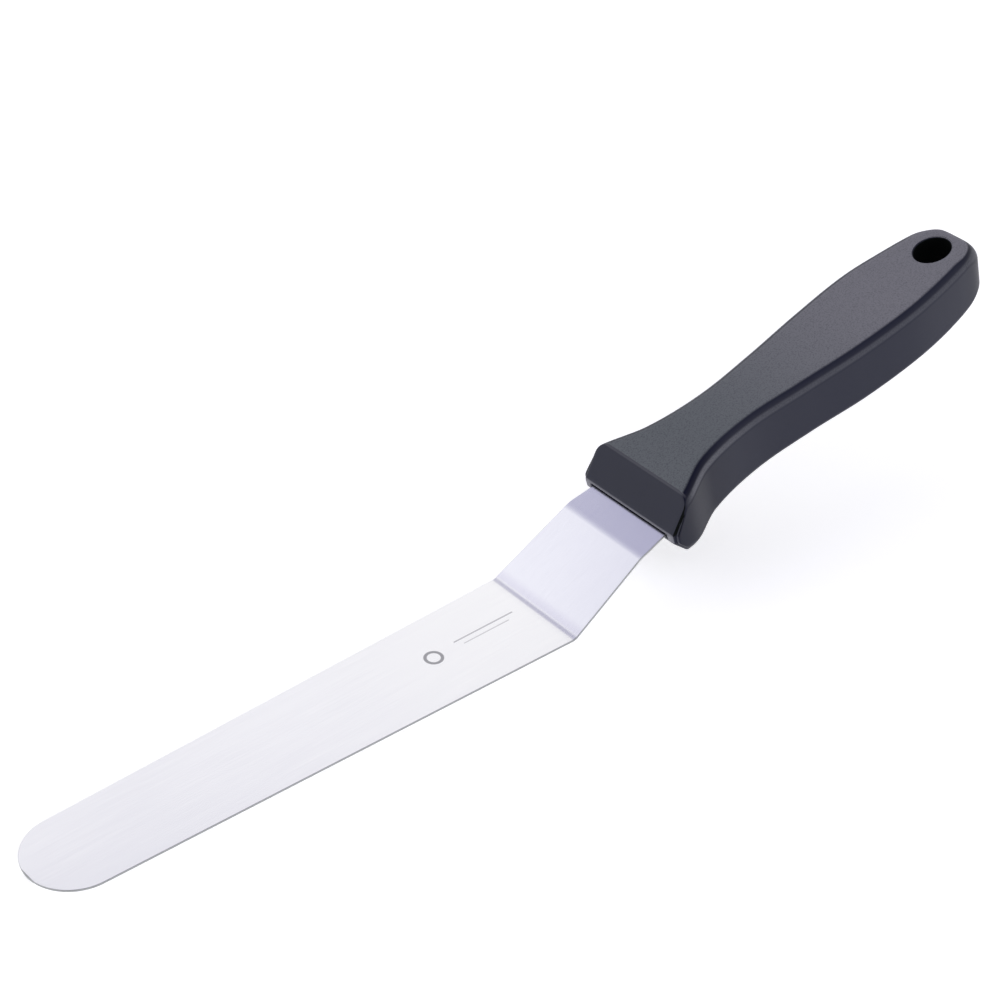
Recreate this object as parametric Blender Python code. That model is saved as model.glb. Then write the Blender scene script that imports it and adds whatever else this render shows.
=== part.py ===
# Offset spatula: one cranked stainless strip held in a moulded plastic handle.
# Metres, +Z up. +X runs from the blade's tip to the handle's butt, +Y across, and Z = 0 is the
# underside of the flat blade. The origin is under the middle of the whole object.
from math import cos, pi, radians, sin

import bmesh
import bpy
from mathutils import Matrix, Vector

FIT_GAP = 0.0003                    # between the strip and the plastic around it

# steel strip, lengths along it, half widths across it
STEEL_THICK = 0.0007
FLAT_LENGTH = 0.1655                # tip to heel bend
TIP_RADIUS = 0.0140
HEEL_HALF = 0.01745
HEEL_BEND_RADIUS = 0.0042
CRANK_LENGTH = 0.0304
CRANK_PITCH = radians(30.8)
CRANK_TOP_HALF = 0.0160
NECK_BEND_RADIUS = 0.0120
NECK_LENGTH = 0.0087                # crank top to the handle
ENTRY_HALF = 0.01525
SHOULDER_DEPTH = 0.0060             # full width goes this far into the handle
SHOULDER_RADIUS = 0.0030
TANG_HALF = 0.0078
TANG_DEPTH = 0.0600
LOCK_HOLES = (0.0190, 0.0460)       # distances into the handle
LOCK_RADIUS = 0.0026
PEG_RADIUS = 0.0023                 # the plastic that fills each of them
LOCK_REACH = (-0.0020, 0.0030)      # from below the strip to above it

# handle, along its axis from the slot's mouth
AXIS_PITCH = radians(16.0)
HANDLE_LENGTH = 0.1418
# distance, half width, height above the strip's underside, depth below it
STATIONS = (
    (-0.0060, 0.0207, 0.0114, 0.0064),
    (0.0080, 0.01845, 0.0113, 0.0095),
    (0.0220, 0.0127, 0.0115, 0.0099),
    (0.0410, 0.0106, 0.01055, 0.0105),
    (0.0620, 0.0120, 0.00905, 0.0114),
    (0.0830, 0.0139, 0.00795, 0.0130),
    (0.1040, 0.0147, 0.0072, 0.0137),
    (0.1200, 0.01335, 0.0063, 0.0145),
    (0.1400, 0.0104, 0.0046, 0.0141),
)
TOP_EDGE_RADIUS = 0.0037
LOW_EDGE_RADIUS = 0.00245
BUTT_START = 0.1200                 # the plan outline starts to close here
BUTT_ROLL = 0.0046                  # depth of the rounding over the butt's top and bottom
BUTT_POWER = 4.0
END_HEIGHT = 0.50                   # height left at the very end, against the full height
BUTT_SWEEP = radians(82)            # stops short of a point, leaving a small flat end

# front of the handle: a blunt nose between two sloping facets
NOSE_AT = 0.0005
NOSE_TOP = 0.0019
NOSE_LOW = -0.0012
UPPER_FACET = (0.0089, 0.0113)      # a point that the upper facet passes through
LOWER_FACET = (0.0064, -0.0093)

# hanging hole, an oval through the butt
HANG_HALF_LENGTH = 0.0063
HANG_HALF_WIDTH = 0.0050
HANG_AT = 0.1285
HANG_PITCH = radians(13.0)
HANG_REACH = 0.030

CORNER_STEPS = 6
BEND_STEPS = 6
TIP_STEPS = 18
BODY_STEPS = 34
BUTT_STEPS = 9
ROUND_SIDES = 40


def clearScene():
    for item in list(bpy.data.objects):
        bpy.data.objects.remove(item, do_unlink=True)


def makeMaterial(name, colour, roughness, metallic):
    material = bpy.data.materials.new(name)
    material.use_nodes = True
    shader = material.node_tree.nodes["Principled BSDF"]
    shader.inputs["Base Color"].default_value = (*colour, 1.0)
    shader.inputs["Roughness"].default_value = roughness
    shader.inputs["Metallic"].default_value = metallic
    return material


def makeObject(name, mesh_data, material=None):
    mesh = bpy.data.meshes.new(name)
    bmesh.ops.recalc_face_normals(mesh_data, faces=mesh_data.faces)
    mesh_data.to_mesh(mesh)
    mesh_data.free()
    item = bpy.data.objects.new(name, mesh)
    bpy.context.scene.collection.objects.link(item)
    if material:
        mesh.materials.append(material)
        mesh.shade_smooth()
        mesh.set_sharp_from_angle(angle=radians(30))
    return item


def loft(rings):
    # closed tube through rings of equal count, with a flat cap at each end
    bm = bmesh.new()
    loops = [[bm.verts.new(point) for point in ring] for ring in rings]
    count = len(loops[0])
    for here, there in zip(loops, loops[1:]):
        for k in range(count):
            n = (k + 1) % count
            bm.faces.new((here[k], here[n], there[n], there[k]))
    bm.faces.new(loops[0])
    bm.faces.new(loops[-1])
    return bm


def combine(item, tool, operation):
    modifier = item.modifiers.new(tool.name, "BOOLEAN")
    modifier.operation = operation
    modifier.solver = "EXACT"
    modifier.object = tool
    tool.hide_render = True
    tool.display_type = "WIRE"


# ---- the axis that the neck, the tang and the handle share

def cornerPoints():
    heel = Vector((0.0, 0.0))
    crank_top = heel + CRANK_LENGTH * Vector((cos(CRANK_PITCH), sin(CRANK_PITCH)))
    mouth = crank_top + NECK_LENGTH * Vector((cos(AXIS_PITCH), sin(AXIS_PITCH)))
    return heel, crank_top, mouth


def axisPoint(along, height, across=0.0):
    mouth = cornerPoints()[2]
    x = mouth.x + along * cos(AXIS_PITCH) - height * sin(AXIS_PITCH)
    z = mouth.y + along * sin(AXIS_PITCH) + height * cos(AXIS_PITCH)
    return Vector((x, across, z))


# ---- the strip: flat blade, crank, neck and tang in one piece

def bend(corner, pitch_in, pitch_out, radius, signed):
    # arc that replaces a corner of the strip's side view: (point, pitch) pairs
    turn = pitch_out - pitch_in
    setback = radius * abs(sin(turn / 2) / cos(turn / 2))
    start = corner - setback * Vector((cos(pitch_in), sin(pitch_in)))
    centre = start + signed * radius * Vector((-sin(pitch_in), cos(pitch_in)))
    stations = []
    for k in range(BEND_STEPS + 1):
        pitch = pitch_in + turn * k / BEND_STEPS
        offset = signed * radius * Vector((sin(pitch), -cos(pitch)))
        stations.append((centre + offset, pitch))
    return stations


def shoulderHalf(depth):
    # half width inside the handle: full, then a rounded shoulder, then the narrow tang
    past = depth - SHOULDER_DEPTH
    if past <= 0:
        return ENTRY_HALF
    if past >= SHOULDER_RADIUS:
        return TANG_HALF
    run = 1 - past / SHOULDER_RADIUS
    return TANG_HALF + (ENTRY_HALF - TANG_HALF) * (1 - (1 - run * run) ** 0.5)


def tangDepths():
    shoulder = [SHOULDER_DEPTH + SHOULDER_RADIUS * k / CORNER_STEPS for k in range(CORNER_STEPS + 1)]
    return shoulder + [TANG_DEPTH]


def stripStations():
    # (point, pitch, half width) from the tip to the end of the tang
    heel, crank_top, mouth = cornerPoints()
    tip = Vector((-FLAT_LENGTH, 0.0))
    stations = []
    for k in range(1, TIP_STEPS + 1):
        angle = pi / 2 * k / TIP_STEPS
        centre = Vector((TIP_RADIUS * (1 - cos(angle)), 0.0))
        stations.append((tip + centre, 0.0, TIP_RADIUS * sin(angle)))
    for point, pitch in bend(heel, 0.0, CRANK_PITCH, HEEL_BEND_RADIUS, 1):
        stations.append((point, pitch, HEEL_HALF))
    for point, pitch in bend(crank_top, CRANK_PITCH, AXIS_PITCH, NECK_BEND_RADIUS, -1):
        stations.append((point, pitch, CRANK_TOP_HALF))
    along_axis = Vector((cos(AXIS_PITCH), sin(AXIS_PITCH)))
    for depth in [0.0] + tangDepths():
        stations.append((mouth + depth * along_axis, AXIS_PITCH, shoulderHalf(depth)))
    return stations


def makeBlade(material):
    bm = bmesh.new()
    rows = []
    for point, pitch, half in stripStations():
        upper = point + STEEL_THICK * Vector((-sin(pitch), cos(pitch)))
        corners = ((point, -half), (point, half), (upper, half), (upper, -half))
        rows.append([bm.verts.new((p.x, y, p.y)) for p, y in corners])
    low = bm.verts.new((-FLAT_LENGTH, 0.0, 0.0))
    high = bm.verts.new((-FLAT_LENGTH, 0.0, STEEL_THICK))
    first = rows[0]
    bm.faces.new((low, first[0], first[1]))
    bm.faces.new((high, first[2], first[3]))
    bm.faces.new((low, first[1], first[2], high))
    bm.faces.new((low, high, first[3], first[0]))
    for here, there in zip(rows, rows[1:]):
        for k in range(4):
            n = (k + 1) % 4
            bm.faces.new((here[k], here[n], there[n], there[k]))
    bm.faces.new(rows[-1])
    blade = makeObject("blade", bm, material)
    for index, along in enumerate(LOCK_HOLES):
        hole = makeRod(f"lock_hole_{index}", along, LOCK_RADIUS, LOCK_RADIUS, *LOCK_REACH, AXIS_PITCH)
        combine(blade, hole, "DIFFERENCE")
    return blade


# ---- the handle

def makeRod(name, along, half_length, half_width, low, high, pitch):
    # round or oval bar across the handle, from one height above the axis to the other
    bm = bmesh.new()
    bmesh.ops.create_cone(bm, cap_ends=True, segments=ROUND_SIDES, radius1=1.0, radius2=1.0,
                          depth=high - low)
    turn = Matrix.Rotation(-pitch, 4, "Y") @ Matrix.Diagonal((half_length, half_width, 1.0, 1.0))
    place = Matrix.Translation(axisPoint(along, (low + high) / 2))
    bmesh.ops.transform(bm, matrix=place @ turn, verts=bm.verts)
    return makeObject(name, bm)


def stationAt(along):
    # smooth curve through the stations: a Hermite span with averaged slopes
    spans = len(STATIONS) - 1
    at = max(k for k in range(spans) if k == 0 or STATIONS[k][0] <= along)
    here, there = STATIONS[at], STATIONS[at + 1]
    before, after = STATIONS[max(at - 1, 0)], STATIONS[min(at + 2, spans)]
    width = there[0] - here[0]
    t = (along - here[0]) / width
    values = []
    for k in (1, 2, 3):
        slope_in = (there[k] - before[k]) / (there[0] - before[0]) * width
        slope_out = (after[k] - here[k]) / (after[0] - here[0]) * width
        values.append((2 * t**3 - 3 * t**2 + 1) * here[k] + (t**3 - 2 * t**2 + t) * slope_in
                      + (3 * t**2 - 2 * t**3) * there[k] + (t**3 - t**2) * slope_out)
    return values


def closing(share, power):
    return max(1 - min(max(share, 0.0), 1.0) ** power, 0.0) ** (1 / power)


def corner(across, height, radius, first_angle):
    points = []
    for k in range(CORNER_STEPS + 1):
        angle = first_angle + pi / 2 * k / CORNER_STEPS
        points.append((across + radius * cos(angle), height + radius * sin(angle)))
    return points


def handleRing(along):
    half, top, low = stationAt(along)
    half *= closing((along - BUTT_START) / (HANDLE_LENGTH - BUTT_START), BUTT_POWER)
    roll = closing((along - HANDLE_LENGTH + BUTT_ROLL) / BUTT_ROLL, 2.0)
    middle = (top - low) / 2
    tall = (top + low) / 2 * (END_HEIGHT + (1 - END_HEIGHT) * roll)
    top_radius = min(TOP_EDGE_RADIUS, half * 0.9, tall * 0.9)
    low_radius = min(LOW_EDGE_RADIUS, half * 0.9, tall * 0.9)
    outline = corner(half - top_radius, middle + tall - top_radius, top_radius, 0.0)
    outline += corner(top_radius - half, middle + tall - top_radius, top_radius, pi / 2)
    outline += corner(low_radius - half, middle - tall + low_radius, low_radius, pi)
    outline += corner(half - low_radius, middle - tall + low_radius, low_radius, 1.5 * pi)
    return [axisPoint(along, height, across) for across, height in outline]


def facetCut(bm, near, far):
    # slice the front off along the line from near to far in the side view, and cap it
    start, end = axisPoint(*near), axisPoint(*far)
    normal = (end - start).cross(Vector((0.0, 1.0, 0.0))).normalized()
    if normal.x > 0:
        normal = -normal
    everything = bm.verts[:] + bm.edges[:] + bm.faces[:]
    cut = bmesh.ops.bisect_plane(bm, geom=everything, plane_co=start, plane_no=normal,
                                 clear_outer=True, dist=1e-7)
    edges = [e for e in cut["geom_cut"] if isinstance(e, bmesh.types.BMEdge)]
    bmesh.ops.edgenet_fill(bm, edges=edges)


def makeSlot():
    # the strip's own outline, grown by the gap all round
    rings = []
    depths = [-SHOULDER_DEPTH] + tangDepths()
    depths[-1] += FIT_GAP
    for depth in depths:
        half = shoulderHalf(depth - FIT_GAP) + FIT_GAP
        low, high = -FIT_GAP, STEEL_THICK + FIT_GAP
        corners = ((-half, low), (half, low), (half, high), (-half, high))
        rings.append([axisPoint(depth, height, across) for across, height in corners])
    return makeObject("slot", loft(rings))


def makeHandle(material):
    start = STATIONS[0][0]
    alongs = [start + (BUTT_START - start) * k / BODY_STEPS for k in range(BODY_STEPS + 1)]
    for k in range(1, BUTT_STEPS + 1):
        share = sin(BUTT_SWEEP * k / BUTT_STEPS) ** (2 / BUTT_POWER)
        alongs.append(BUTT_START + (HANDLE_LENGTH - BUTT_START) * share)
    bm = loft([handleRing(along) for along in alongs])
    facetCut(bm, (NOSE_AT, NOSE_LOW), (NOSE_AT, NOSE_TOP))
    facetCut(bm, (NOSE_AT, NOSE_TOP), UPPER_FACET)
    facetCut(bm, (NOSE_AT, NOSE_LOW), LOWER_FACET)
    handle = makeObject("handle", bm, material)
    combine(handle, makeSlot(), "DIFFERENCE")
    for index, along in enumerate(LOCK_HOLES):
        peg = makeRod(f"peg_{index}", along, PEG_RADIUS, PEG_RADIUS, *LOCK_REACH, AXIS_PITCH)
        combine(handle, peg, "UNION")
    hang = makeRod("hang_hole", HANG_AT, HANG_HALF_LENGTH, HANG_HALF_WIDTH, -HANG_REACH, HANG_REACH,
                   HANG_PITCH)
    combine(handle, hang, "DIFFERENCE")
    return handle


def main():
    clearScene()
    steel = makeMaterial("stainless", (0.82, 0.82, 0.84), 0.25, 1.0)
    plastic = makeMaterial("plastic", (0.09, 0.09, 0.10), 0.5, 0.0)
    pieces = [makeBlade(steel), makeHandle(plastic)]
    reach = [vertex.co.x for piece in pieces for vertex in piece.data.vertices]
    centre = bpy.data.objects.new("centre", None)
    bpy.context.scene.collection.objects.link(centre)
    centre.location.x = -(min(reach) + max(reach)) / 2
    for item in bpy.data.objects:
        if item.type == "MESH":
            item.parent = centre


main()
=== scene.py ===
from math import cos, pi, radians, sin, sqrt, tan

import bmesh
import bpy
from mathutils import Matrix, Vector


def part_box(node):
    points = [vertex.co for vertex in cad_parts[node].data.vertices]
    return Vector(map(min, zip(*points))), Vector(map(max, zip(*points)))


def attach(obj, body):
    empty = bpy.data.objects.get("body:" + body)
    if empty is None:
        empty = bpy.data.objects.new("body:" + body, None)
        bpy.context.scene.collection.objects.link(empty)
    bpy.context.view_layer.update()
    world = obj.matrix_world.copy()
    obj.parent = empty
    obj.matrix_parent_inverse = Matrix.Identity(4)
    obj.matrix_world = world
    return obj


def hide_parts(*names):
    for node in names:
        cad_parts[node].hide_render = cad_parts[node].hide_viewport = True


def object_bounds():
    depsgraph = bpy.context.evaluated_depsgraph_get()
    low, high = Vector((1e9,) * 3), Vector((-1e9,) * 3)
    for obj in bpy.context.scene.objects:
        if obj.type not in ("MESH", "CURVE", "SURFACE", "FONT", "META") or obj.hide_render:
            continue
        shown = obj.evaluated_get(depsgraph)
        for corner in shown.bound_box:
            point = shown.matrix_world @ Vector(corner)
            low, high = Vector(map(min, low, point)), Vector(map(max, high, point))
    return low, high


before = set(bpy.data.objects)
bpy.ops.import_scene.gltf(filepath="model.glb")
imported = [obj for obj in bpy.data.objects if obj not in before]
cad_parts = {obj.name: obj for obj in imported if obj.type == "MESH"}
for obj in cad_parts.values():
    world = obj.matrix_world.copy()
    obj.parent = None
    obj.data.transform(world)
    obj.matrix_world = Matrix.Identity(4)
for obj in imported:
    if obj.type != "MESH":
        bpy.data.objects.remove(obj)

cadLow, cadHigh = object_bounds()
mm = 0.001
world = bpy.context.scene

# the strip's run from tip to handle; heel, crankTop and mouth are its turns, as (x, z)
axis = {
    "flatLength": 165.5 * mm,
    "crankLength": 30.4 * mm,
    "crankPitch": radians(30.8),
    "neckLength": 8.7 * mm,
    "pitch": radians(16.0),
}
heel = Vector((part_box("blade")[0].x + axis["flatLength"], 0.0))
crankTop = heel + axis["crankLength"] * Vector((cos(axis["crankPitch"]), sin(axis["crankPitch"])))
mouth = crankTop + axis["neckLength"] * Vector((cos(axis["pitch"]), sin(axis["pitch"])))


def onAxis(along, across, height):
    # from the handle's own directions to the frame's
    x = mouth.x + along * cos(axis["pitch"]) - height * sin(axis["pitch"])
    z = mouth.y + along * sin(axis["pitch"]) + height * cos(axis["pitch"])
    return Vector((x, across, z))


def makePiece(name, bm, material, node):
    mesh = bpy.data.meshes.new(name)
    bmesh.ops.recalc_face_normals(bm, faces=bm.faces)
    bm.to_mesh(mesh)
    bm.free()
    mesh.materials.append(material)
    mesh.shade_smooth()
    piece = bpy.data.objects.new(name, mesh)
    world.collection.objects.link(piece)
    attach(piece, "root")
    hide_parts(node)
    return piece


class Flow:
    # one value on its way through a material's nodes

    def __init__(self, tree, socket=None):
        self.tree = tree
        self.socket = socket

    def node(self, kind, settings=None, sockets=None, out=0):
        made = self.tree.nodes.new("ShaderNode" + kind)
        for name, setting in (settings or {}).items():
            setattr(made, name, setting)
        for name, value in (sockets or {}).items():
            if isinstance(value, Flow):
                self.tree.links.new(value.socket, made.inputs[name])
            else:
                made.inputs[name].default_value = value
        return Flow(self.tree, made.outputs[out])

    def math(self, operation, first, second=0.0):
        return self.node("Math", {"operation": operation}, {0: first, 1: second})

    def __add__(self, other):
        return self.math("ADD", self, other)

    def __sub__(self, other):
        return self.math("SUBTRACT", self, other)

    def __rsub__(self, other):
        return self.math("SUBTRACT", other, self)

    def __mul__(self, other):
        return self.math("MULTIPLY", self, other)

    def __truediv__(self, other):
        return self.math("DIVIDE", self, other)

    __radd__ = __add__
    __rmul__ = __mul__

    def __abs__(self):
        return self.math("ABSOLUTE", self)

    def root(self):
        return self.math("SQRT", self)

    def most(self, other):
        return self.math("MAXIMUM", self, other)

    def rise(self, low, high):
        # 0 below low, 1 above high, smooth between
        return self.node("MapRange", {"interpolation_type": "SMOOTHSTEP"},
                         {"Value": self, "From Min": low, "From Max": high})

    def mix(self, low, high):
        # colours, with this value as the share of the second
        sockets = {"Factor": self, 6: low, 7: high}
        return self.node("Mix", {"data_type": "RGBA"}, sockets, out=2)

    def part(self, letter):
        return self.node("SeparateXYZ", {}, {"Vector": self}, out="XYZ".index(letter))

    def along(self, direction):
        return self.node("VectorMath", {"operation": "DOT_PRODUCT"}, {0: self, 1: direction}, out=1)

    def stretched(self, scale):
        return self.node("VectorMath", {"operation": "MULTIPLY"}, {0: self, 1: scale})

    def noise(self, scale, detail=2.0):
        return self.node("TexNoise", {}, {"Vector": self, "Scale": scale, "Detail": detail})


def newMaterial(name):
    material = bpy.data.materials.new(name)
    material.use_nodes = True
    tree = material.node_tree
    shader = tree.nodes["Principled BSDF"]
    start = Flow(tree)
    place = start.node("TexCoord", out="Object")
    facing = start.node("TexCoord", out="Normal")
    return material, shader, start, place, facing


def feed(shader, **values):
    for name, value in values.items():
        socket = shader.inputs[name.replace("_", " ")]
        if isinstance(value, Flow):
            value.tree.links.new(value.socket, socket)
        else:
            socket.default_value = value


blade = {
    "thick": 0.7 * mm,
    "edgeRound": 0.2 * mm,
    "tipRadius": 14.0 * mm,
    "heelHalf": 17.45 * mm,
    "heelRadius": 4.2 * mm,
    "crankTopHalf": 16.0 * mm,
    "neckRadius": 12.0 * mm,
    "entryHalf": 15.25 * mm,
    "shoulderDepth": 6.0 * mm,
    "shoulderRadius": 3.0 * mm,
    "tangHalf": 7.8 * mm,
    "tangDepth": 59.8 * mm,
    "tipSteps": 48,
    "flatSteps": 12,
    "bendSteps": 14,
    "shoulderSteps": 8,
    "roundSteps": 3,
}

steel = {
    "bright": (0.945, 0.945, 0.965, 1.0),
    "nearHeel": (0.96, 0.96, 0.965, 1.0),
    "crank": (0.93, 0.935, 1.0, 1.0),
    "crease": (0.80, 0.79, 0.91, 1.0),
    "cutEdge": (0.42, 0.43, 0.43, 1.0),
    "print": (0.22, 0.22, 0.24, 1.0),
    "rough": 0.22,
    "brushing": (60.0, 2600.0, 400.0),      # how fine the brushed lines are along X, Y and Z
    "tipZone": (15 * mm, 16 * mm),          # only here does a face towards -X count as a cut edge
    "paling": (-90 * mm, -20 * mm),         # from bright to nearHeel, measured from the heel
    "turn": (-1 * mm, 2 * mm),              # from nearHeel to crank
}


def bend(corner, pitchIn, pitchOut, radius, side):
    # the arc that rounds a corner of the strip's side view
    turn = pitchOut - pitchIn
    start = corner - radius * abs(tan(turn / 2)) * Vector((cos(pitchIn), sin(pitchIn)))
    centre = start + side * radius * Vector((-sin(pitchIn), cos(pitchIn)))
    for k in range(blade["bendSteps"] + 1):
        pitch = pitchIn + turn * k / blade["bendSteps"]
        yield centre + side * radius * Vector((sin(pitch), -cos(pitch))), pitch


def shoulderHalf(depth):
    past = (depth - blade["shoulderDepth"]) / blade["shoulderRadius"]
    if past <= 0:
        return blade["entryHalf"]
    if past >= 1:
        return blade["tangHalf"]
    return blade["tangHalf"] + (blade["entryHalf"] - blade["tangHalf"]) * (1 - sqrt(1 - (1 - past) ** 2))


def shoulderDepths():
    steps = blade["shoulderSteps"]
    return [blade["shoulderDepth"] + blade["shoulderRadius"] * k / steps for k in range(steps + 1)]


def stripStations():
    tip = heel - Vector((axis["flatLength"], 0.0))
    radius = blade["tipRadius"]
    for k in range(blade["tipSteps"] + 1):
        angle = pi / 2 * k / blade["tipSteps"]
        yield tip + Vector((radius * (1 - cos(angle)), 0.0)), 0.0, radius * sin(angle)
    bendStart = heel.x - blade["heelRadius"] * tan(axis["crankPitch"] / 2)
    for k in range(1, blade["flatSteps"]):
        share = k / blade["flatSteps"]
        x = tip.x + radius + (bendStart - tip.x - radius) * share
        yield Vector((x, 0.0)), 0.0, radius + (blade["heelHalf"] - radius) * share
    for point, pitch in bend(heel, 0.0, axis["crankPitch"], blade["heelRadius"], 1):
        yield point, pitch, blade["heelHalf"]
    for point, pitch in bend(crankTop, axis["crankPitch"], axis["pitch"], blade["neckRadius"], -1):
        yield point, pitch, blade["crankTopHalf"]
    for depth in [0.0] + shoulderDepths() + [blade["tangDepth"]]:
        run = depth * Vector((cos(axis["pitch"]), sin(axis["pitch"])))
        yield mouth + run, axis["pitch"], shoulderHalf(depth)


def stripSection(half):
    # rounded rectangle across the strip: (across, up from the underside), round all four edges
    radius, thick, steps = blade["edgeRound"], blade["thick"], blade["roundSteps"]
    edge = min(radius, half)
    centres = ((half - edge, thick - radius), (edge - half, thick - radius), (edge - half, radius),
               (half - edge, radius))
    for quarter, (across, up) in enumerate(centres):
        for k in range(steps + 1):
            angle = pi / 2 * (quarter + k / steps)
            yield across + edge * cos(angle), up + radius * sin(angle)


def makeBlade(material):
    bm = bmesh.new()
    rings = []
    for point, pitch, half in stripStations():
        rise = Vector((-sin(pitch), cos(pitch)))
        ring = []
        for across, up in stripSection(half):
            spot = point + up * rise
            ring.append(bm.verts.new((spot.x, across, spot.y)))
        rings.append(ring)
    count = len(rings[0])
    for here, there in zip(rings, rings[1:]):
        for k in range(count):
            n = (k + 1) % count
            bm.faces.new((here[k], here[n], there[n], there[k]))
    bm.faces.new(rings[-1])
    bmesh.ops.remove_doubles(bm, verts=bm.verts, dist=0.002 * mm)
    bmesh.ops.dissolve_degenerate(bm, edges=bm.edges, dist=0.001 * mm)
    piece = makePiece("steelBlade", bm, material, "blade")
    weights = piece.modifiers.new("flatFaces", "WEIGHTED_NORMAL")
    weights.weight = 100
    weights.keep_sharp = True
    return piece


# the mark on the upper face; its places are measured from the heel
etching = {
    "ringAt": (-35.5 * mm, 1.2 * mm),
    "ringRadius": 2.4 * mm,
    "ringLine": (0.35 * mm, 0.6 * mm),      # solid up to the first, gone at the second
    "ringStrength": 0.8,
    # across, start, end, width, strength
    "rules": (
        (2.8 * mm, -27 * mm, -6 * mm, 0.5 * mm, 0.55),
        (0.7 * mm, -25 * mm, -9 * mm, 0.4 * mm, 0.4),
    ),
    "ruleFade": 0.2 * mm,
}


def printMask(place, facing):
    # a ring and two fine rules
    x = place.part("X") - heel.x
    y = place.part("Y")
    upper = facing.part("Z").rise(0.5, 0.8)
    fade = etching["ruleFade"]
    ringX, ringY = etching["ringAt"]
    dx, dy = x - ringX, y - ringY
    reach = (dx * dx + dy * dy).root()
    ring = 1 - abs(reach - etching["ringRadius"]).rise(*etching["ringLine"])
    mask = ring * etching["ringStrength"]
    for across, start, end, width, strength in etching["rules"]:
        beside = 1 - abs(y - across).rise(width * 0.35, width * 0.65)
        within = x.rise(start - fade, start) * (1 - x.rise(end, end + fade))
        mask = mask.most(beside * within * strength)
    return mask * upper


def steelMaterial():
    material, shader, start, place, facing = newMaterial("satinSteel")
    brushed = place.stretched(steel["brushing"]).noise(1.0, 3.0)
    cloud = place.noise(18.0, 2.0)
    byTip = 1 - (place.part("X") - cadLow.x).rise(*steel["tipZone"])
    cut = abs(facing.part("Y")).rise(0.06, 0.4).most((-1 * facing.part("X")).rise(0.06, 0.4) * byTip)
    past = place.part("X") - heel.x
    colour = past.rise(*steel["paling"]).mix(steel["bright"], steel["nearHeel"])
    colour = past.rise(*steel["turn"]).mix(colour, steel["crank"])
    # a soft shade lies on the crank's side of the heel bend
    crease = past.rise(0.4 * mm, 1.0 * mm) * (1 - past.rise(1.0 * mm, 4 * mm))
    colour = (crease * 0.6).mix(colour, steel["crease"])
    colour = cut.mix(colour, steel["cutEdge"])
    colour = printMask(place, facing).mix(colour, steel["print"])
    bump = start.node("Bump", {}, {"Strength": 0.06, "Distance": 0.02 * mm, "Height": brushed})
    worn = past.rise(-3 * mm, -1 * mm) * (1 - past.rise(1 * mm, 4 * mm))
    rough = steel["rough"] + (brushed - 0.5) * 0.10 + (cloud - 0.5) * 0.06
    rough = rough + cut * 0.25 + worn * 0.04
    feed(shader, Base_Color=colour, Metallic=1.0, Roughness=rough, Normal=bump)
    return material


handle = {
    "length": 141.4 * mm,
    # distance along, half width, height over the axis, depth under it
    "stations": (
        (-6.0, 20.7, 11.4, 6.4),
        (8.0, 18.45, 11.3, 9.5),
        (22.0, 12.7, 11.5, 9.9),
        (41.0, 10.6, 10.55, 10.5),
        (62.0, 12.0, 9.05, 11.4),
        (83.0, 13.9, 7.95, 13.0),
        (104.0, 14.7, 7.2, 13.7),
        (120.0, 13.35, 6.3, 14.5),
        (140.0, 10.4, 5.4, 14.1),
    ),
    "topRadius": 3.7 * mm,
    "lowRadius": 2.45 * mm,
    "buttTopRadius": 7.0 * mm,
    "buttLowRadius": 4.0 * mm,
    "buttSoft": 131.0 * mm,     # where both roundings start growing towards the butt
    "noseLowRadius": 5.2 * mm,
    "noseSoft": 14.0 * mm,      # the underside's rounding is back to its usual size here
    "buttStart": 120.0 * mm,
    "buttPower": 4.2,
    "nose": 0.5 * mm,           # how far back the nose stands from the strip's mouth point
    "noseTop": 1.9 * mm,
    "noseLow": -1.2 * mm,
    "upperSlope": 0.894,        # run along the axis for each unit of height
    "lowerSlope": 0.68,
    "noseRound": 0.35 * mm,
    "frontCorner": 1.1 * mm,    # plan rounding of the front's two outer corners
    "frontHalf": 18.7 * mm,
    "edgeRound": 0.7 * mm,
    "mouthHalf": 16.1 * mm,
    "mouthTop": 1.35 * mm,
    "mouthLow": 0.65 * mm,
    "throat": 3.0 * mm,         # the slot runs straight from here inwards
    "mouthEdge": 0.4 * mm,      # rounding of the slot's own corners
    "lipRound": 0.3 * mm,
    "fitGap": 0.3 * mm,
    "frontEnd": 26.0 * mm,      # the front's own rings lean back over this length
    "flatSteps": 14,
    "cornerSteps": 14,
    "sideSteps": 22,
    "facetSteps": 12,
    "frontRings": 40,
    "bodyRings": 90,
    "buttRings": 30,
}

hangHole = {
    "along": 128.8 * mm,
    "halfLength": 6.3 * mm,
    "halfWidth": 5.0 * mm,
    "topPitch": radians(13.0),
    "lowPitch": radians(16.5),
    "rim": 0.7 * mm,
    "over": 1.5 * mm,       # how far the cutter stands out of both faces
    "sides": 96,
}

plastic = {
    # the top's colours: the grained plastic's own grey with a painted sheen of the light from above
    "topFront": (0.160, 0.173, 0.188, 1.0),
    "topRear": (0.236, 0.234, 0.262, 1.0),
    "side": (0.021, 0.023, 0.040, 1.0),
    # painted shade: the side wall darker at the butt and over the front flare
    "shadedSideEnd": (0.004, 0.005, 0.018, 1.0),
    # painted sheen in a line under the top edge
    "paintedSheen": (0.150, 0.153, 0.175, 1.0),
    # painted highlight on the slot's lip and the front's top edge
    "lip": (0.17, 0.17, 0.195, 1.0),
    # painted shade, in the bore and along the front's outer corners
    "paintedShade": (0.001, 0.002, 0.002, 1.0),
    "topRough": 0.65,
    "sideRough": 0.36,
    "topPitch": radians(13.5),          # the grained face's own tilt
    "grainScale": 2600.0,
    "speckleScale": 2300.0,
    "rearZone": (24 * mm, 106 * mm),    # where the top goes from its front colour to its rear one
    "flareZone": (14 * mm, 36 * mm),
    "buttZone": (127 * mm, 138 * mm),
    "coat": 0.23,
    "coatRough": 0.3,
    "gloss": 0.06,
}


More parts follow.
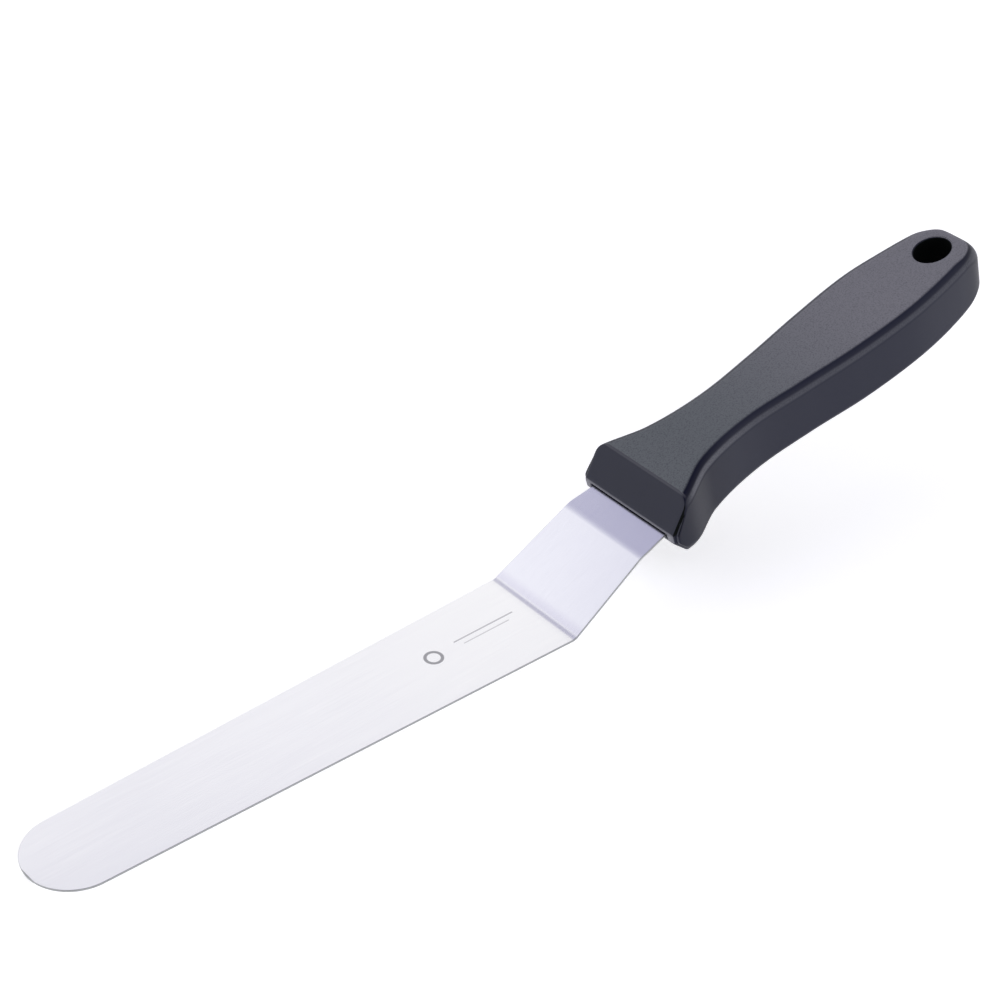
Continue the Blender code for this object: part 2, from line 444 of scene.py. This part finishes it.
def stationAt(along):
    # a smooth curve through the stations
    rows = handle["stations"]
    u = along / mm
    at = max(k for k in range(len(rows) - 1) if k == 0 or rows[k][0] <= u)
    here, there = rows[at], rows[at + 1]
    before, after = rows[max(at - 1, 0)], rows[min(at + 2, len(rows) - 1)]
    width = there[0] - here[0]
    t = (u - here[0]) / width
    values = []
    for k in (1, 2, 3):
        slopeIn = (there[k] - before[k]) / (there[0] - before[0]) * width
        slopeOut = (after[k] - here[k]) / (after[0] - here[0]) * width
        value = (2 * t**3 - 3 * t**2 + 1) * here[k] + (t**3 - 2 * t**2 + t) * slopeIn
        value += (3 * t**2 - 2 * t**3) * there[k] + (t**3 - t**2) * slopeOut
        values.append(value * mm)
    return values


def halfWidth(along):
    share = max(along - handle["buttStart"], 0.0) / (handle["length"] - handle["buttStart"])
    power = handle["buttPower"]
    return stationAt(along)[0] * max(1 - share**power, 0.0) ** (1 / power)


def buttAlongs(steps):
    for k in range(1, steps + 1):
        share = sin(pi / 2 * k / steps) ** (2 / handle["buttPower"])
        yield handle["buttStart"] + (handle["length"] - handle["buttStart"]) * share


def planOutline():
    first = handle["buttStart"] - 20 * mm
    alongs = [first + (handle["buttStart"] - first) * k / 40 for k in range(41)] + list(buttAlongs(160))
    return [Vector((u, halfWidth(u))) for u in alongs]


outline = planOutline()


def eased(share):
    share = min(max(share, 0.0), 1.0)
    return share * share * (3 - 2 * share)


def edgeRadii(along):
    share = eased((along - handle["buttSoft"]) / (handle["length"] - handle["buttSoft"]))
    top = handle["topRadius"] + (handle["buttTopRadius"] - handle["topRadius"]) * share
    low = handle["lowRadius"] + (handle["buttLowRadius"] - handle["lowRadius"]) * share
    atNose = eased(1 - along / handle["noseSoft"])
    return top, low + (handle["noseLowRadius"] - handle["lowRadius"]) * atNose


def edgeDistance(along, across, half):
    # how far a point of the plan lies inside the outline
    if along < handle["buttStart"] - 8 * mm:
        slope = (halfWidth(along + 0.5 * mm) - halfWidth(along - 0.5 * mm)) / mm
        return (half - across) / sqrt(1 + slope * slope)
    spot = Vector((along, across))
    nearest = 1.0
    for here, there in zip(outline, outline[1:]):
        run = there - here
        share = min(max((spot - here).dot(run) / max(run.length_squared, 1e-12), 0.0), 1.0)
        nearest = min(nearest, (here + share * run - spot).length)
    return nearest


def rolled(distance, radius):
    # how far a rounded edge has dropped this close to the outline
    inside = max(radius - distance, 0.0)
    return radius - sqrt(max(radius * radius - inside * inside, 0.0))


def ringParameters():
    # one side of a section, from the middle of the top to the middle of the underside
    flat, corner, side = handle["flatSteps"], handle["cornerSteps"], handle["sideSteps"]
    rows = [("topFlat", k / flat) for k in range(flat)]
    rows += [("topRound", pi / 2 * k / corner) for k in range(corner)]
    rows += [("side", k / side) for k in range(side + 1)]
    rows += [("lowRound", pi / 2 * (1 - k / corner)) for k in range(1, corner + 1)]
    rows += [("lowFlat", 1 - k / flat) for k in range(1, flat + 1)]
    return rows


ringRows = ringParameters()


def sectionPoint(row, along):
    # (across, height) of one point of the section at this distance, on the +Y side
    kind, value = row
    half = halfWidth(along)
    top, low = stationAt(along)[1:]
    over, under = edgeRadii(along)
    if kind == "side":
        levelTop, levelLow = top - over, under - low
        return half, levelTop + (levelLow - levelTop) * (value - 0.12 * sin(2 * pi * value))
    radius = over if kind.startswith("top") else under
    shrink = min(half / radius, 1.0)
    if kind.endswith("Flat"):
        across = value * max(half - radius, 0.0)
    else:
        across = half - radius * shrink * (1 - sin(value))
    drop = rolled(edgeDistance(along, across, half), radius)
    return across, (top - drop if kind.startswith("top") else drop - low)


def softOver(value):
    ease = handle["noseRound"]
    return (value + sqrt(value * value + ease * ease)) / 2


def frontAt(across, height):
    # how far back the front stands here: a blunt nose between two slopes, rounded at its sides
    back = handle["upperSlope"] * softOver(height - handle["noseTop"])
    back += handle["lowerSlope"] * softOver(handle["noseLow"] - height)
    radius = handle["frontCorner"]
    return handle["nose"] + back + rolled(handle["frontHalf"] - across, radius)


def frontCorner(row):
    along = 5 * mm
    for _ in range(8):
        across, height = sectionPoint(row, along)
        along = frontAt(across, height)
    return along, across, height


def mouthPoint(row, half, top, low):
    # the same point's place on the small outline around the strip
    kind, value = row
    edge = handle["mouthEdge"]
    if kind == "side":
        return half, top - edge + (2 * edge - low - top) * value
    if kind.endswith("Flat"):
        return value * (half - edge), (top if kind.startswith("top") else -low)
    across = half - edge * (1 - sin(value))
    bulge = edge * (1 - cos(value))
    return across, (top - bulge if kind.startswith("top") else bulge - low)


def curve(first, middle, last, steps):
    for k in range(steps + 1):
        t = k / steps
        yield (1 - t) ** 2 * first + 2 * t * (1 - t) * middle + t * t * last


def railFor(row):
    # every point along one row, from deep in the slot, out over the front and back to the butt
    lip, gap = handle["lipRound"], handle["fitGap"]
    rail = []
    for depth in [blade["tangDepth"] + gap] + shoulderDepths()[::-1] + [handle["throat"]]:
        wall = mouthPoint(row, shoulderHalf(depth - gap) + gap, blade["thick"] + gap, gap)
        rail.append(Vector((depth, *wall)))
    across, height = mouthPoint(row, handle["mouthHalf"], handle["mouthTop"], handle["mouthLow"])
    opening = Vector((frontAt(across, height), across, height))
    inner = rail[-1]
    cornerSpot = Vector(frontCorner(row))
    outward = cornerSpot - opening
    rounding = min(handle["edgeRound"], outward.length * 0.4)

    def onFront(share):
        a = opening.y + (cornerSpot.y - opening.y) * share
        h = opening.z + (cornerSpot.z - opening.z) * share
        return Vector((frontAt(a, h), a, h))

    lipStart = opening + (inner - opening).normalized() * lip
    lipShare = min(lip / outward.length, 0.3)
    rail += list(curve(lipStart, opening, onFront(lipShare), 4))
    last = 1 - rounding / outward.length
    steps = handle["facetSteps"]
    rail += [onFront(lipShare + (last - lipShare) * k / steps) for k in range(1, steps)]
    start = cornerSpot.x + rounding
    wallStart = Vector((start, *sectionPoint(row, start)))
    rail += list(curve(onFront(last), cornerSpot, wallStart, 6))
    for k in range(1, handle["frontRings"] + 1):
        share = k / handle["frontRings"]
        u = start + (handle["frontEnd"] - start) * share
        rail.append(Vector((u, *sectionPoint(row, u))))
    span = handle["buttStart"] - handle["frontEnd"]
    for k in range(1, handle["bodyRings"] + 1):
        u = handle["frontEnd"] + span * k / handle["bodyRings"]
        rail.append(Vector((u, *sectionPoint(row, u))))
    for u in buttAlongs(handle["buttRings"]):
        rail.append(Vector((u, *sectionPoint(row, u))))
    return rail


def handleShell():
    # rails on the +Y side, the same mirrored, and one face between each pair of neighbours
    bm = bmesh.new()
    rails = [railFor(row) for row in ringRows]
    mirrored = [[Vector((p.x, -p.y, p.z)) for p in rail] for rail in rails[-2:0:-1]]
    grid = [[bm.verts.new(onAxis(*p)) for p in rail] for rail in rails + mirrored]
    count, steps = len(grid), len(grid[0])
    for k in range(count):
        here, there = grid[k], grid[(k + 1) % count]
        for s in range(steps - 1):
            bm.faces.new((here[s], there[s], there[s + 1], here[s + 1]))
    bm.faces.new([rail[0] for rail in grid])
    bmesh.ops.remove_doubles(bm, verts=bm.verts, dist=0.004 * mm)
    bmesh.ops.dissolve_degenerate(bm, edges=bm.edges, dist=0.002 * mm)
    return bm


def holeCutter():
    # a bar whose ends flare over the rims, so that the cut leaves them rounded
    top, low = stationAt(hangHole["along"])[1:]
    centre = onAxis(hangHole["along"], 0.0, top)
    rim, over = hangHole["rim"], hangHole["over"]
    topPitch, lowPitch = hangHole["topPitch"], hangHole["lowPitch"]
    down = Vector((sin(topPitch), 0.0, -cos(topPitch)))
    depth = (top + low) / cos(axis["pitch"] - topPitch)
    angles = [pi / 20 * k for k in range(8, -1, -1)]
    flare = [(rim * (1 - cos(angle)), rim * (1 - sin(angle))) for angle in angles]
    widest = flare[0][0] + rim * 0.6
    upperStops = [(widest, -over, topPitch)] + [(out, inward, topPitch) for out, inward in flare]
    lowStops = [(out, depth - inward, lowPitch) for out, inward in reversed(flare)]
    lowStops.append((widest, depth + over, lowPitch))
    bm = bmesh.new()
    rings = []
    for flared, deep, pitch in upperStops + lowStops:
        middle = centre + down * deep
        lengthwise = Vector((cos(pitch), 0.0, sin(pitch)))
        ring = []
        for k in range(hangHole["sides"]):
            angle = 2 * pi * k / hangHole["sides"]
            lengthReach = (hangHole["halfLength"] + flared) * cos(angle)
            sideReach = (hangHole["halfWidth"] + flared) * sin(angle)
            ring.append(bm.verts.new(middle + lengthReach * lengthwise + Vector((0, sideReach, 0))))
        rings.append(ring)
    for here, there in zip(rings, rings[1:]):
        for k in range(hangHole["sides"]):
            n = (k + 1) % hangHole["sides"]
            bm.faces.new((here[k], here[n], there[n], there[k]))
    bm.faces.new(rings[0])
    bm.faces.new(rings[-1])
    bmesh.ops.recalc_face_normals(bm, faces=bm.faces)
    mesh = bpy.data.meshes.new("hangCutter")
    bm.to_mesh(mesh)
    bm.free()
    cutter = bpy.data.objects.new("hangCutter", mesh)
    world.collection.objects.link(cutter)
    return cutter


def makeHandle(material):
    piece = makePiece("mouldedHandle", handleShell(), material, "handle")
    cutter = holeCutter()
    cut = piece.modifiers.new("hangHole", "BOOLEAN")
    cut.operation = "DIFFERENCE"
    cut.solver = "EXACT"
    cut.object = cutter
    bpy.context.view_layer.update()
    shaped = bpy.data.meshes.new_from_object(piece.evaluated_get(bpy.context.evaluated_depsgraph_get()))
    piece.modifiers.clear()
    piece.data = shaped
    bpy.data.objects.remove(cutter, do_unlink=True)
    shaped.shade_smooth()
    shaped.set_sharp_from_angle(angle=radians(40))
    return piece


def plasticMaterial():
    material, shader, start, place, facing = newMaterial("charcoalPlastic")
    lengthwise = (cos(axis["pitch"]), 0.0, sin(axis["pitch"]))
    upward = (-sin(axis["pitch"]), 0.0, cos(axis["pitch"]))
    base = onAxis(0.0, 0.0, 0.0)
    along = place.along(lengthwise) - base.dot(Vector(lengthwise))
    height = place.along(upward) - base.dot(Vector(upward))
    atButt = along.rise(*plastic["buttZone"])
    topward = (-sin(plastic["topPitch"]), 0.0, cos(plastic["topPitch"]))
    grained = (facing.along(topward) + atButt * 0.16).rise(0.90, 0.985)
    grain = place.noise(plastic["grainScale"], 3.0)
    speckle = place.noise(plastic["speckleScale"], 3.0)
    towardsButt = along.rise(*plastic["rearZone"])
    # the grained top is paler than the sides partly from the grain's own grey, partly as painted sheen
    # of the light from above
    sheenAndFlecks = grained * (0.95 + (speckle - 0.5) * 1.4)
    frontal = (-1 * facing.part("X")).rise(0.5, 0.7)
    flare = 1 - along.rise(*plastic["flareZone"])
    # painted shade: the side wall goes darker towards the butt and over the front flare
    sideColour = atButt.most(flare * (1 - frontal)).mix(plastic["side"], plastic["shadedSideEnd"])
    colour = sheenAndFlecks.mix(sideColour, towardsButt.mix(plastic["topFront"], plastic["topRear"]))
    # a painted sheen: a lighter line under the top edge, strongest near the front
    tilt = facing.along(upward)
    paintedSheen = tilt.rise(0.10, 0.36) * (1 - tilt.rise(0.52, 0.70)) * (0.8 + (speckle - 0.5) * 0.9)
    paintedSheen = paintedSheen * along.rise(6 * mm, 14 * mm) * (1 - along.rise(16 * mm, 54 * mm) * 0.52)
    colour = paintedSheen.mix(colour, plastic["paintedSheen"])
    # painted highlights, paler on the rounded edges round the slot and over the front
    lipHighlight = 1 - along.rise(0.7 * mm, 0.95 * mm)
    browHighlight = (1 - abs(along - 8.9 * mm).rise(0.2 * mm, 0.55 * mm)) * height.rise(10.0 * mm, 10.8 * mm)
    colour = lipHighlight.most(browHighlight * 0.3).mix(colour, plastic["lip"])
    # the front's outer corners sit in a thin line of shade
    cornerWise = (-0.53 * cos(axis["pitch"]) - 0.47 * sin(axis["pitch"]), 0.0,
                  0.47 * cos(axis["pitch"]) - 0.53 * sin(axis["pitch"]))
    shade = (facing.along(cornerWise) + abs(facing.part("Y")) * 0.71).rise(0.94, 0.985)
    shade = shade * (1 - along.rise(12 * mm, 14 * mm))
    colour = shade.mix(colour, plastic["paintedShade"])
    # painted shade: the bore goes dark with depth
    ahead = (along - hangHole["along"]) / (hangHole["halfLength"] + 0.3 * mm)
    aside = place.part("Y") / (hangHole["halfWidth"] + 0.3 * mm)
    inBore = 1 - (ahead * ahead + aside * aside).rise(0.95, 1.15)
    inBore = inBore * (1 - tilt.rise(0.5, 0.8))
    colour = inBore.mix(colour, plastic["paintedShade"])
    rough = plastic["sideRough"] + grained * (plastic["topRough"] - plastic["sideRough"])
    rough = rough + (speckle - 0.5) * 0.1 + inBore * 0.5
    coat = plastic["coat"] - towardsButt * 0.11 - flare * 0.06 + frontal * 0.27
    coat = coat * (1 - grained) * (1 - inBore) * (1 - shade)
    relief = grain * (grained * 0.7 + 0.3)
    bump = start.node("Bump", {}, {"Strength": 0.4, "Distance": 0.05 * mm, "Height": relief})
    feed(shader, Base_Color=colour, Roughness=rough, Coat_Weight=coat,
         Coat_Roughness=plastic["coatRough"], Specular_IOR_Level=plastic["gloss"], Normal=bump)
    return material


studio = {
    "floorSize": 6.0,
    "floorColour": (0.94, 0.94, 0.945, 1.0),
    "glow": 0.50,
    "sky": (1.01, 1.005, 1.02, 1.0),
    "canopy": (0.40, 0.39, 0.54, 1.0),
    "zenith": (0.13, 0.13, 0.16, 1.0),
    "behind": (0.03, 0.03, 0.04, 1.0),
    "behindAt": (-0.60, -0.68, 0.42),
    "canopyTilt": (0.12, 0.0, 1.0),
    "canopyEdge": (0.745, 0.80),
    "zenithEdge": (0.86, 0.95),
    "behindEdge": (0.90, 0.97),
    "lens": 89.17,
    "azimuth": radians(229.13),
    "elevation": radians(36.19),
    "roll": radians(0.94),
    "distance": 0.739,
    "lookPast": (26.5 * mm, 46.2 * mm),     # where the view's middle meets the floor, from the heel
}


def makeFloor():
    bm = bmesh.new()
    bmesh.ops.create_grid(bm, x_segments=12, y_segments=12, size=studio["floorSize"] / 2)
    mesh = bpy.data.meshes.new("floor")
    bm.to_mesh(mesh)
    bm.free()
    floor = bpy.data.objects.new("floor", mesh)
    floor.location.z = cadLow.z - 0.2 * mm
    world.collection.objects.link(floor)
    material, shader, _, place, _ = newMaterial("paleFloor")
    mottle = place.noise(3.0, 2.0)
    feed(shader, Base_Color=studio["floorColour"], Roughness=0.75 + (mottle - 0.5) * 0.1,
         Emission_Color=(1.0, 1.0, 1.0, 1.0), Emission_Strength=studio["glow"])
    mesh.materials.append(material)


def makeSky():
    sky = bpy.data.worlds.new("studioSky")
    sky.use_nodes = True
    world.world = sky
    start = Flow(sky.node_tree)
    toward = start.node("TexCoord", out="Generated")
    # a pale surround, a greyer canopy above, dark straight overhead and in the corner behind the lens
    canopy = toward.along(studio["canopyTilt"]).rise(*studio["canopyEdge"])
    colour = canopy.mix(studio["sky"], studio["canopy"])
    colour = toward.part("Z").rise(*studio["zenithEdge"]).mix(colour, studio["zenith"])
    behind = toward.along(studio["behindAt"]).rise(*studio["behindEdge"])
    colour = behind.mix(colour, studio["behind"])
    background = sky.node_tree.nodes["Background"]
    sky.node_tree.links.new(colour.socket, background.inputs["Color"])


def makeCamera():
    lens = bpy.data.cameras.new("camera")
    lens.lens = studio["lens"]
    lens.sensor_width = 36.0
    camera = bpy.data.objects.new("camera", lens)
    a, e = studio["azimuth"], studio["elevation"]
    back = Vector((cos(e) * cos(a), cos(e) * sin(a), sin(e)))
    target = Vector((heel.x + studio["lookPast"][0], studio["lookPast"][1], cadLow.z))
    level = (-back).to_track_quat("-Z", "Y").to_matrix().to_4x4()
    spot = Matrix.Translation(target + back * studio["distance"])
    camera.matrix_world = spot @ level @ Matrix.Rotation(studio["roll"], 4, "Z")
    world.collection.objects.link(camera)
    world.camera = camera


world.view_settings.view_transform = "Standard"
makeCamera()
makeFloor()
makeSky()
print("studio ready")
makeBlade(steelMaterial())
print("blade ready")
makeHandle(plasticMaterial())
print("handle ready")

bpy.context.view_layer.update()
